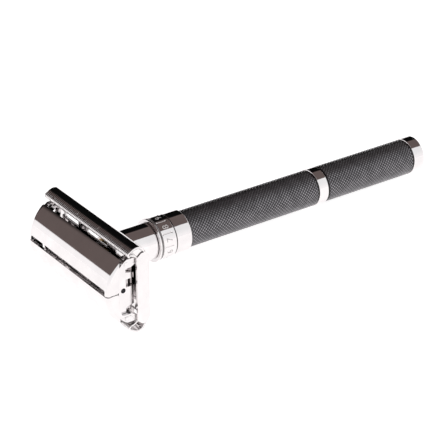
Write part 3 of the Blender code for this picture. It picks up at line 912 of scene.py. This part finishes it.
@dataclass
class Guard:
    """The guard plate with its rolled, toothed edges, lather slots and end bars."""

    sheet: float = 0.6 * MM
    half_length: float = 21.8 * MM
    depth: float = 10.4 * MM
    rise: float = 3.3 * MM
    lip_offset: float = 11.1 * MM
    roll_radius: float = 2.4 * MM
    roll: Point = (9.35 * MM, 10.7 * MM)
    roll_start: float = 145.0
    roll_end: float = 15.0
    slot_reach: Point = (5.7 * MM, 9.3 * MM)
    slots: Sequence[Point] = ((0.0, 10.6 * MM), (13.6 * MM, 7.6 * MM), (-13.6 * MM, 7.6 * MM))
    slot_corner: float = 0.6 * MM
    notch_reach: Point = (7.6 * MM, 10.3 * MM)
    notch_ends: Point = (18.05 * MM, 21.0 * MM)
    sleeve_hole: float = 3.75 * MM
    tooth_pitch: float = 0.7 * MM
    tooth_depth: float = 0.16 * MM
    bar_sheet: float = 0.65 * MM
    bar_top: float = 9.3 * MM
    bar_bottom: float = 13.4 * MM
    bar_offset: float = 11.5 * MM

    def section(self) -> tuple[np.ndarray, np.ndarray, np.ndarray]:
        """The middle of the sheet from the plate's middle to the upper roll's free edge.

        The plate is straight, the rise a quarter round, the lip a half round and the roll an arc.

        Returns:
            The (x, z) points, and the outward direction and share of the teeth's depth at each.
        """
        flat = self.lip_offset - self.rise
        low, high = self.slot_reach
        bend = self.slot_corner * np.array((0, 0.15, 0.5, 1))
        stops = np.array((*self.notch_reach, *(low + bend), *(high - bend), self.sleeve_hole))
        runs = np.where(stops < flat, stops,
                        flat + self.rise * np.arcsin(np.clip((stops - flat) / self.rise, 0, 1)))
        quarter = flat + self.rise * np.pi / 2
        lengths = np.unique(np.round(np.concatenate((
            np.linspace(0, flat, 10), np.linspace(flat, quarter, 14), runs)) / MM, 6)) * MM
        angle = np.clip((lengths - flat) / self.rise, 0, None)
        x = self.depth - self.rise + self.rise * np.cos(angle)
        z = np.minimum(lengths, flat) + self.rise * np.sin(angle)
        base = np.stack((x, z), 1)
        base_out = np.stack((np.cos(angle), np.sin(angle)), 1)
        roll = arc_points(self.roll, self.roll_radius, self.roll_start, self.roll_end, 18)
        roll_out = (roll - self.roll) / self.roll_radius
        middle = (base[-1] + roll[0]) / 2
        radius = float(np.linalg.norm(base[-1] - roll[0])) / 2
        first = math.degrees(math.atan2(*(base[-1] - middle)[::-1]))
        lip = arc_points(middle, radius, first, first - 180, 10)
        lip_out = (lip - middle) / radius
        path = np.vstack((base, lip[1:], roll[1:]))
        out = np.vstack((-base_out, lip_out[1:], roll_out[1:]))
        teeth = np.concatenate((
            np.clip((np.arange(len(base)) - len(base) + 5) / 5, 0, 1), np.ones(len(lip) - 1),
            np.clip(1 - np.arange(len(roll) - 1) / 3, 0, 1)))
        return path, out, teeth

    def plate(self) -> bpy.types.Mesh:
        """The sheet's middle surface with its slots, notches and sleeve hole left out.

        The section runs across and y along; the teeth raise it outwards by depth * share *
        (1 + cos(2 pi y / pitch)) / 2.

        Returns:
            The open middle surface.
        """
        path, out, share = self.section()
        path = np.vstack((flipped(path)[:-1], path))
        out = np.vstack((flipped(out)[:-1], out))
        share = np.concatenate((share[:0:-1], share))
        stops = [corner[0] for opening in self.openings() for corner in opening]
        columns = round(2 * self.half_length / (self.tooth_pitch / 4))
        y = np.unique(np.round(np.concatenate((
            np.linspace(-self.half_length, self.half_length, columns + 1), stops)) / MM, 4)) * MM
        wave = (1 + np.cos(2 * np.pi * y / self.tooth_pitch)) / 2
        lift = share[:, None] * wave * self.tooth_depth
        x = path[:, :1] + out[:, :1] * lift
        z = path[:, 1:] + out[:, 1:] * lift
        grid = np.stack((x, np.broadcast_to(y, x.shape), z), -1)
        quads = grid_quads(*x.shape)
        level = (path[1:, 1] + path[:-1, 1])[:, None] / 2
        deep = (path[1:, 0] + path[:-1, 0])[:, None] / 2 > self.depth - self.rise
        at = ((y[1:] + y[:-1]) / 2)[None]
        keep = np.hypot(level, at) > self.sleeve_hole
        keep &= ~((np.abs(at) > self.half_length - self.bar_sheet / 2)
                  & (np.abs(level) < self.lip_offset))
        for low, high in self.openings():
            inside = (np.abs(level) > low[1]) & (np.abs(level) < high[1]) & deep
            keep &= ~(inside & (at > low[0]) & (at < high[0]))
        self.round_slots(grid)
        points, faces = grid.reshape(-1, 3), quads[keep]
        mesh = make_mesh("guard_plate_sheet", points, faces)
        merge_doubles(mesh)
        return mesh

    def openings(self) -> list[tuple[Point, Point]]:
        """The slots and notches, as their low and high (y, distance from the middle) corners.

        Returns:
            The corners.
        """
        low, high = self.slot_reach
        found = [((middle - length / 2, low), (middle + length / 2, high))
                 for middle, length in self.slots]
        start, stop = self.notch_ends
        for first, last in ((start, stop), (-stop, -start)):
            found.append(((first, self.notch_reach[0]), (last, self.notch_reach[1])))
        return found

    def round_slots(self, grid: np.ndarray) -> None:
        """Move the points round each slot's corners onto an arc, in place.

        A point of the slot's rim within the corner's radius goes to the arc's middle plus the
        radius times the direction from that middle to the point.

        Args:
            grid: the sheet's points, changed in place.
        """
        y, z = grid[..., 1], grid[..., 2]
        shallow = grid[..., 0] < self.depth - self.rise
        reach = self.slot_corner
        for low, high in self.openings()[:len(self.slots)]:
            for sign in (1, -1):
                inside_y = (y > low[0] - 1e-7) & (y < high[0] + 1e-7)
                inside_z = (sign * z > low[1] - 1e-7) & (sign * z < high[1] + 1e-7)
                middle_y = np.clip(y, low[0] + reach, high[0] - reach)
                middle_z = np.clip(sign * z, low[1] + reach, high[1] - reach)
                away_y, away_z = y - middle_y, sign * z - middle_z
                far = np.hypot(away_y, away_z)
                corner = inside_y & inside_z & (np.abs(away_y) > 1e-9) & (np.abs(away_z) > 1e-9)
                rim = corner & (far > reach) & ~shallow
                pull = reach / np.maximum(far, 1e-9)
                y[...] = np.where(rim, middle_y + away_y * pull, y)
                z[...] = np.where(rim, sign * (middle_z + away_z * pull), z)

    def bar_outline(self) -> np.ndarray:
        """An end bar: straight along its back, with its two tips drawn in to the rolls.

        Returns:
            The closed outline.
        """
        half = rounded((
            (self.bar_top, 0, 0),
            (self.bar_top, self.bar_offset - 1.6 * MM, 0.5 * MM),
            (self.bar_top + 1.4 * MM, self.bar_offset - 0.4 * MM, 0.6 * MM),
            (self.bar_bottom - 1.3 * MM, self.bar_offset, 0.7 * MM),
            (self.bar_bottom, self.bar_offset - 1.7 * MM, 0.7 * MM),
            (self.bar_bottom, 0, 0)), closed=False)
        return np.vstack((half[1:-1], flipped(half)[1:-1]))

    def build(self, bench: Bench) -> None:
        """Make the plate and its end bars.

        Args:
            bench: finishes the pieces.
        """
        plate = bench.finish(self.plate(), Body.GUARD, Slot.HEAD_CHROME, ("guard_plate",), 50)
        bench.thicken(plate, self.sheet, 0.0)
        for end in End:
            low, high = sorted((end.value * (self.half_length - self.bar_sheet),
                                end.value * self.half_length))
            mesh = flat_mesh(f"{end.word}_end_bar", [self.bar_outline()], low, high)
            bar = bench.finish(mesh, Body.GUARD, Slot.HEAD_CHROME, ("guard_plate",))
            bench.round_edges(bar, 0.12 * MM, 3)


@dataclass
class HeadWorks:
    """The base, the lift bar and its brackets, kept in shape but with worn, rounded edges."""

    rounding: float = 0.07 * MM

    def build(self, bench: Bench) -> None:
        """Make the pieces.

        Args:
            bench: finishes the pieces.
        """
        # The lift bar takes the nearly black steel finish, painted shade for the dark slot between
        # the doors that it sits in.
        for node, body, slot in (("base_frame", Body.HANDLE, Slot.HEAD_CHROME),
                                 ("lift_bar", Body.LIFTER, Slot.STEEL),
                                 ("left_bracket", Body.LIFTER, Slot.HEAD_CHROME),
                                 ("right_bracket", Body.LIFTER, Slot.HEAD_CHROME)):
            mesh = softened_mesh(node)
            mesh.name = node + "_finished"
            piece = bench.finish(mesh, body, slot, (node,))
            bench.round_edges(piece, self.rounding)


# Handle
@dataclass
class TurnedParts:
    """The plain chrome parts of the handle: neck, collar, middle ring and end cap."""

    soft: float = 0.12 * MM
    bore: float = 5.05 * MM
    lip: float = 0.22 * MM
    lip_run: float = 0.088 * MM
    spigot: float = 4.85 * MM
    neck_bore: float = 3.9 * MM
    cap_skirt: float = 1.1 * MM

    def sleeve(self, node: str, front: float, back: float) -> np.ndarray:
        """A sleeve's outline from a node's box, with rounded rims.

        Args:
            node: the node whose ends and radius it keeps.
            front: rounding of the rim near the head.
            back: rounding of the rim near the knob's end.

        Returns:
            The closed outline.
        """
        box = RAZOR.extent(node)
        return rounded(((box.start, box.radius, front), (box.end, box.radius, back),
                        (box.end, self.bore, self.soft), (box.start, self.bore, self.soft)))

    def neck(self) -> np.ndarray:
        """The neck and the thinner spigot inside the dial and collar.

        Returns:
            The closed outline.
        """
        box, dial = RAZOR.extent("neck_sleeve"), RAZOR.extent("adjuster_dial")
        shoulder = dial.start - 0.15 * MM
        return rounded(((box.start, box.radius, 0.35 * MM), (shoulder, box.radius, self.soft),
                        (shoulder, self.spigot, 0), (box.end, self.spigot, self.soft),
                        (box.end, self.neck_bore, self.soft),
                        (box.start, self.neck_bore, self.soft)))

    def bevel(self, box: Extent) -> tuple[Corner, Corner]:
        """The two corners of the bright bevel that faces the head."""
        return ((box.start, box.radius - self.lip, 0.04 * MM),
                (box.start + self.lip_run, box.radius, 0.06 * MM))

    def cap(self) -> np.ndarray:
        """The end cap: a bright bevelled lip at the grip, a soft rim and a flat end.

        Returns:
            The outline, open at the axis.
        """
        box = RAZOR.extent("end_cap")
        inside = box.start + self.cap_skirt
        return rounded(((inside, 0, 0), (inside, self.bore, 0), (box.start, self.bore, 0),
                        *self.bevel(box), (box.end, box.radius, 0.42 * MM), (box.end, 0, 0)),
                       closed=False)

    def ring(self) -> np.ndarray:
        """The middle ring, bevelled at both rims.

        Returns:
            The closed outline.
        """
        box = RAZOR.extent("middle_ring")
        return rounded((*self.bevel(box), (box.end - self.lip, box.radius, 0.08 * MM),
                        (box.end, box.radius - self.lip, 0.05 * MM),
                        (box.end, self.bore, 0), (box.start, self.bore, 0)))

    def build(self, bench: Bench) -> None:
        """Make the parts.

        Args:
            bench: finishes the pieces.
        """
        parts = (("neck_sleeve", self.neck(), Body.HANDLE),
                 ("collar", self.sleeve("collar", 0.1 * MM, 0.3 * MM), Body.HANDLE),
                 ("middle_ring", self.ring(), Body.HANDLE),
                 ("end_cap", self.cap(), Body.KNOB))
        for node, outline, body in parts:
            mesh = turned_mesh(node + "_turned", outline)
            bench.finish(mesh, body, Slot.HANDLE_CHROME, (node,), 60)


@dataclass
class Dial:
    """The numbered ring: a lip, an index groove, and ten panels parted by grooves."""

    panels: int = 10
    lip_end: float = 0.6 * MM
    groove_end: float = 1.3 * MM
    groove_depth: float = 0.30 * MM
    lip_height: float = 0.22 * MM
    parting_width: float = 0.42 * MM
    parting_depth: float = 0.22 * MM
    parting_start: float = 1.45 * MM
    band: float = 6.3 * MM
    bore: float = 5.0 * MM
    fade: float = 0.25 * MM
    figure_height: float = 2.0 * MM
    first_panel: float = 18.0

    def surface(self) -> bpy.types.Mesh:
        """The ring's outside and bore as one closed surface.

        Along the ring the radius follows the lip, the index groove and the band. Each parting
        groove lowers the band by depth * (1 - (a / half width)^2)^(1/2), where a is the distance
        round the ring from the groove's middle, and dies out at the band's two ends.

        Returns:
            The closed mesh.
        """
        box, band = RAZOR.extent("adjuster_dial"), self.band
        start, end = box.start, box.end
        lip, floor = band + self.lip_height, band - self.groove_depth
        outline = rounded((
            (start, self.bore, 0), (start, lip, 0.16 * MM),
            (start + self.lip_end, lip, 0.16 * MM), (start + self.lip_end, floor, 0.10 * MM),
            (start + self.groove_end, floor, 0.10 * MM), (start + self.groove_end, band, 0.12 * MM)
        ), closed=False, steps=4)
        run = np.linspace(start + self.parting_start, end - 0.12 * MM, 22)
        rim = rounded(((run[-1] - 0.05 * MM, band, 0), (end, band, 0.15 * MM),
                       (end, self.bore, 0)), closed=False, steps=4)[1:]
        outline = np.vstack((outline, np.stack((run[:-1], np.full(len(run) - 1, band)), 1), rim))
        half = self.parting_width / 2
        fine = np.linspace(-1, 1, 9) * half / band
        pitch = 2 * np.pi / self.panels
        coarse = np.linspace(fine[-1], pitch - fine[-1], 12)[1:-1]
        turn = np.concatenate((fine, coarse)) + pitch * np.arange(self.panels)[:, None]
        away = np.tile(np.concatenate((fine * band, np.ones(len(coarse)))), self.panels)
        shape = np.sqrt(np.clip(1 - (away / half) ** 2, 0, 1))
        x, radius = outline[:, :1], outline[:, 1:]
        rise = np.clip((x - run[0]) / self.fade, 0, 1)
        fall = np.clip((end - 0.9 * MM - x) / self.fade, 0, 1)
        on_band = (np.abs(radius - band) < 1e-6) & (x > start + self.groove_end)
        radius = radius - self.parting_depth * shape * rise * fall * on_band
        angle = turn.ravel() + math.radians(self.first_panel)
        grid = np.stack((np.broadcast_to(x, radius.shape), radius * np.sin(angle),
                         radius * np.cos(angle)), -1)
        points = grid.reshape(-1, 3)
        faces = grid_quads(*radius.shape, True, True).reshape(-1, 4)
        return make_mesh("adjuster_dial_ring", points, facing_out(points, faces))

    def figure(self, number: int) -> bpy.types.Mesh:
        """One figure, laid round the ring in the middle of its panel.

        A point at u round and v along the flat figure goes to the angle u / radius, at distance v
        from the panel's middle.

        Args:
            number: the figure.

        Returns:
            Its mesh.
        """
        text = bpy.data.curves.new(f"figure_{number}", "FONT")
        text.body = str(number)
        text.size = self.figure_height / 0.72
        text.align_x, text.align_y = "CENTER", "CENTER"
        text.extrude = 0.02 * MM
        mesh = curve_mesh(text)
        with edited(mesh) as body:
            bmesh.ops.remove_doubles(body, verts=body.verts, dist=1e-7)
            bmesh.ops.triangulate(body, faces=body.faces)
            long = [edge for edge in body.edges if edge.calc_length() > 0.3 * MM]
            bmesh.ops.subdivide_edges(body, edges=long, cuts=3)
            bmesh.ops.triangulate(body, faces=body.faces)
        places = np.empty(len(mesh.vertices) * 3)
        mesh.vertices.foreach_get("co", places)
        places = places.reshape(-1, 3)
        box = RAZOR.extent("adjuster_dial")
        middle = (box.start + self.parting_start + box.end) / 2 - 0.1 * MM
        radius = self.band + places[:, 2] + 0.005 * MM
        angle = (places[:, 0] / self.band + math.radians(self.first_panel)
                 + 2 * np.pi * (number + 0.5) / self.panels)
        laid = np.stack((middle - places[:, 1], radius * np.sin(angle), radius * np.cos(angle)), 1)
        mesh.vertices.foreach_set("co", RAZOR.to_model(laid).astype(np.float32).ravel())
        mesh.update()
        mesh.materials.clear()
        return mesh

    def paint(self) -> bpy.types.Mesh:
        """A thin dark ring on the index groove's floor, which makes the groove read dark.

        Returns:
            The closed ring.
        """
        start = RAZOR.extent("adjuster_dial").start
        floor = self.band - self.groove_depth
        low, high = start + self.lip_end + 0.06 * MM, start + self.groove_end - 0.06 * MM
        outline = np.array(((low, floor), (low, floor + 0.04 * MM), (high, floor + 0.04 * MM),
                            (high, floor)))
        return turned_mesh("index_groove_dark_ring", outline)

    def build(self, bench: Bench) -> None:
        """Make the ring, the dark ring on its groove's floor and its figures 1 to 9.

        Args:
            bench: finishes the pieces.
        """
        bench.finish(self.surface(), Body.DIAL, Slot.HANDLE_CHROME, ("adjuster_dial",), 60)
        bench.finish(self.paint(), Body.DIAL, Slot.HANDLE_CHROME, material=bench.finishes.groove)
        for number in range(1, self.panels):
            bench.finish(self.figure(number), Body.DIAL, Slot.HANDLE_CHROME,
                         material=bench.finishes.figures)


@dataclass
class Grip:
    """A sleeve with a diamond knurl."""

    node: str
    body: Body
    teeth: int = 32
    pitch: float = 1.08 * MM
    depth: float = 0.12 * MM
    flat: float = 0.5
    per_tooth: int = 6
    bore: float = 5.05 * MM
    rim: float = 0.30 * MM
    rim_height: float = 0.35
    shoulder: float = 0.09 * MM
    chamfer: Point = (0.10 * MM, 0.12 * MM)

    def build(self, bench: Bench) -> None:
        """Make the sleeve.

        Two families of grooves wind round the sleeve, one each way. With a and b their phases,
        turns * teeth + x / pitch and turns * teeth - x / pitch, each family's ridge is
        1 - |2 frac(a) - 1|, the knurl is the lower of the two ridges with its tips cut flat,
        and the surface lies depth * (1 - knurl) below the sleeve's radius.

        Args:
            bench: finishes the pieces.
        """
        box = RAZOR.extent(self.node)
        step = self.pitch / self.per_tooth
        count = math.floor((box.end - box.start - 2 * self.rim) / step)
        first = (box.start + box.end - count * step) / 2
        x = first + step * np.arange(count + 1)
        columns = self.teeth * self.per_tooth
        turn = np.arange(columns) / self.per_tooth
        along = (np.arange(count + 1) / self.per_tooth)[:, None]
        ridges = [1 - np.abs(2 * np.mod(phase, 1) - 1) for phase in (turn + along, turn - along)]
        knurl = np.minimum(np.minimum(*ridges) / self.flat, 1)
        from_end = np.minimum(x - box.start, box.end - x)[:, None]
        fade = np.clip(from_end / self.rim - 0.5, 0, 1)
        knurl = knurl * fade + (1 - fade) * self.rim_height
        radius = box.radius - self.depth * (1 - knurl)
        low = box.radius - self.shoulder
        places = np.array((0, 0, self.chamfer[0]))
        rows = np.outer((self.bore, low - self.chamfer[1], low), np.ones(columns))
        radius = np.vstack((rows, radius, rows[::-1]))
        x = np.concatenate((box.start + places, x, box.end - places[::-1]))
        knurl = np.pad(knurl, ((3, 3), (0, 0)))
        angle = 2 * np.pi * turn / self.teeth
        points = np.stack((np.broadcast_to(x[:, None], radius.shape), radius * np.sin(angle),
                           radius * np.cos(angle)), -1).reshape(-1, 3)
        quads = grid_quads(len(x), columns, True, True)
        i = (np.arange(len(x)) - len(places))[:, None]
        j = np.arange(columns)[None]
        falling = ((j - i) % self.per_tooth == 0)[..., None]
        one = np.where(falling, quads[..., [0, 1, 2]], quads[..., [0, 1, 3]]).reshape(-1, 3)
        two = np.where(falling, quads[..., [0, 2, 3]], quads[..., [1, 2, 3]]).reshape(-1, 3)
        faces = facing_out(points, np.vstack((one, two)))
        mesh = make_mesh(self.node + "_knurled", points, faces)
        # The knurl's height; the black lacquer darkens the grooves by it as painted shade and
        # lightens the crests as rubbed wear and painted highlight.
        tips = mesh.attributes.new("crest", "FLOAT", "POINT")
        tips.data.foreach_set("value", knurl.ravel().astype(np.float32))
        piece = bench.finish(mesh, self.body, Slot.BLACK_GRIP, (self.node,), 25)
        log.info("%s has %d teeth round it", piece.name, self.teeth)


# Studio
@dataclass
class Studio:
    """A white table under a white tent that is open overhead, with a black card behind."""

    tent: Colour = (1.22, 1.2017, 1.2078)
    tent_high: Colour = (1.0492, 1.0614, 1.0675)
    tent_edge: Point = (0.503, 0.529)
    roof: Colour = (0.15, 0.118, 0.112)
    card: Colour = (0.004, 0.004, 0.004)
    card_edge: Point = (0.68, 0.72)
    glow: float = 0.86
    table_light: float = 0.8
    distance: float = 0.57567
    turn: float = 33.9414
    tilt: float = 30.355
    roll: float = 3.2306
    lens: float = 156.95
    aim: Corner = (54.05 * MM, 0, -2.75 * MM)

    def world(self) -> None:
        """Light that depends on the direction it comes from.

        The tent is white below the plane z = 0.516 - 0.468 y and dim above it; towards the back,
        where 0.298 x + 0.955 y + 0.15 z passes 0.7, it is black from the table up.
        """
        world = bpy.data.worlds.new("tent")
        bpy.context.scene.world = world
        world.use_nodes = True
        sky = Wiring(world.node_tree)
        way = sky.add("TexCoord").outputs["Generated"]

        def step(weights: tuple[float, float, float], start: float, end: float) -> Socket:
            """Go from 0 to 1 as the weighed sum of the direction's parts goes from start to end.

            Args:
                weights: for x, y and z.
                start: the sum at 0.
                end: the sum at 1.

            Returns:
                The step.
            """
            dot = sky.add("VectorMath", operation="DOT_PRODUCT")
            dot.inputs[1].default_value = weights
            sky.join(way, dot.inputs[0])
            return sky.spread(dot.outputs["Value"], 0, 1, start, end, "SMOOTHSTEP")

        white = sky.mix(step((0, 0, 1), 0.0, 0.5), self.tent, self.tent_high)
        roofed = sky.mix(step((0, 0.468, 1), *self.tent_edge), white, self.roof)
        black = sky.sum(step((0.298, 0.955, 0.15), *self.card_edge),
                        step((0, 0, 1), -0.02, 0.02), "MULTIPLY")
        backed = sky.mix(black, roofed, self.card)
        sky.join(backed, world.node_tree.nodes["Background"].inputs["Color"])

    def table(self) -> None:
        """The lit acrylic table that the razor lies on."""
        mesh = bpy.data.meshes.new("table_top")
        reach = 2.5
        mesh.from_pydata([(-reach, -reach, 0), (reach, -reach, 0), (reach, reach, 0),
                          (-reach, reach, 0)], [], [(0, 1, 2, 3)])
        nodes = Nodes("white_table")
        nodes.inputs["Base Color"].default_value = (0.5, 0.495, 0.495, 1)
        nodes.inputs["Emission Color"].default_value = (1, 0.99, 0.99, 1)
        nodes.inputs["Emission Strength"].default_value = self.glow
        nodes.inputs["Specular IOR Level"].default_value = 0.1
        nodes.polish((0.75, 0.9), 60)
        mesh.materials.append(nodes.material)
        floor = bpy.data.objects.new("table_top", mesh)
        bpy.context.scene.collection.objects.link(floor)

    @staticmethod
    def lamp(name: str, strength: float, spread: float, turn: Corner) -> None:
        """A broad soft light that shows in no reflection.

        Args:
            name: the lamp's name.
            strength: its energy.
            spread: degrees across.
            turn: its rotation in degrees.
        """
        light = bpy.data.lights.new(name, "SUN")
        light.energy = strength
        light.angle = math.radians(spread)
        lamp = bpy.data.objects.new(name, light)
        lamp.rotation_euler = [math.radians(value) for value in turn]
        lamp.visible_glossy = False
        bpy.context.scene.collection.objects.link(lamp)

    def camera(self) -> None:
        """The camera, placed by its turn from +Y, its height angle, its roll and its distance."""
        data = bpy.data.cameras.new("camera")
        data.lens = self.lens
        data.sensor_width = 36
        data.clip_start = 0.01
        camera = bpy.data.objects.new("camera", data)
        bpy.context.scene.collection.objects.link(camera)
        turn, tilt, roll = (math.radians(value) for value in (self.turn, self.tilt, self.roll))
        ahead = Vector((math.sin(turn) * math.cos(tilt), math.cos(turn) * math.cos(tilt),
                        -math.sin(tilt)))
        right = Vector((math.cos(turn), -math.sin(turn), 0))
        up = right.cross(ahead)
        right, up = (right * math.cos(roll) - up * math.sin(roll),
                     up * math.cos(roll) + right * math.sin(roll))
        place = Vector(RAZOR.to_model(np.array(self.aim))) - ahead * self.distance
        axes = Matrix((right, up, -ahead)).transposed()
        camera.matrix_world = Matrix.Translation(place) @ axes.to_4x4()
        bpy.context.scene.camera = camera

    def build(self) -> None:
        """Set the stage."""
        bpy.context.scene.view_settings.view_transform = "Standard"
        self.world()
        self.table()
        self.lamp("overhead", self.table_light, 50, (0, 0, 0))
        self.lamp("front", 1.0, 40, (50, 0, -20))
        self.camera()


def main() -> None:
    """Build the razor round the frame, then the studio."""
    logging.basicConfig(level=logging.INFO, format="%(message)s")
    finishes = Finishes()
    finishes.dress_nodes()
    bench = Bench(finishes)
    for part in (Doors(), Guard(), HeadWorks(), TurnedParts(), Dial(),
                 Grip("front_grip", Body.HANDLE), Grip("knob_grip", Body.KNOB)):
        part.build(bench)
    Studio().build()


if __name__ == "__main__":
    main()
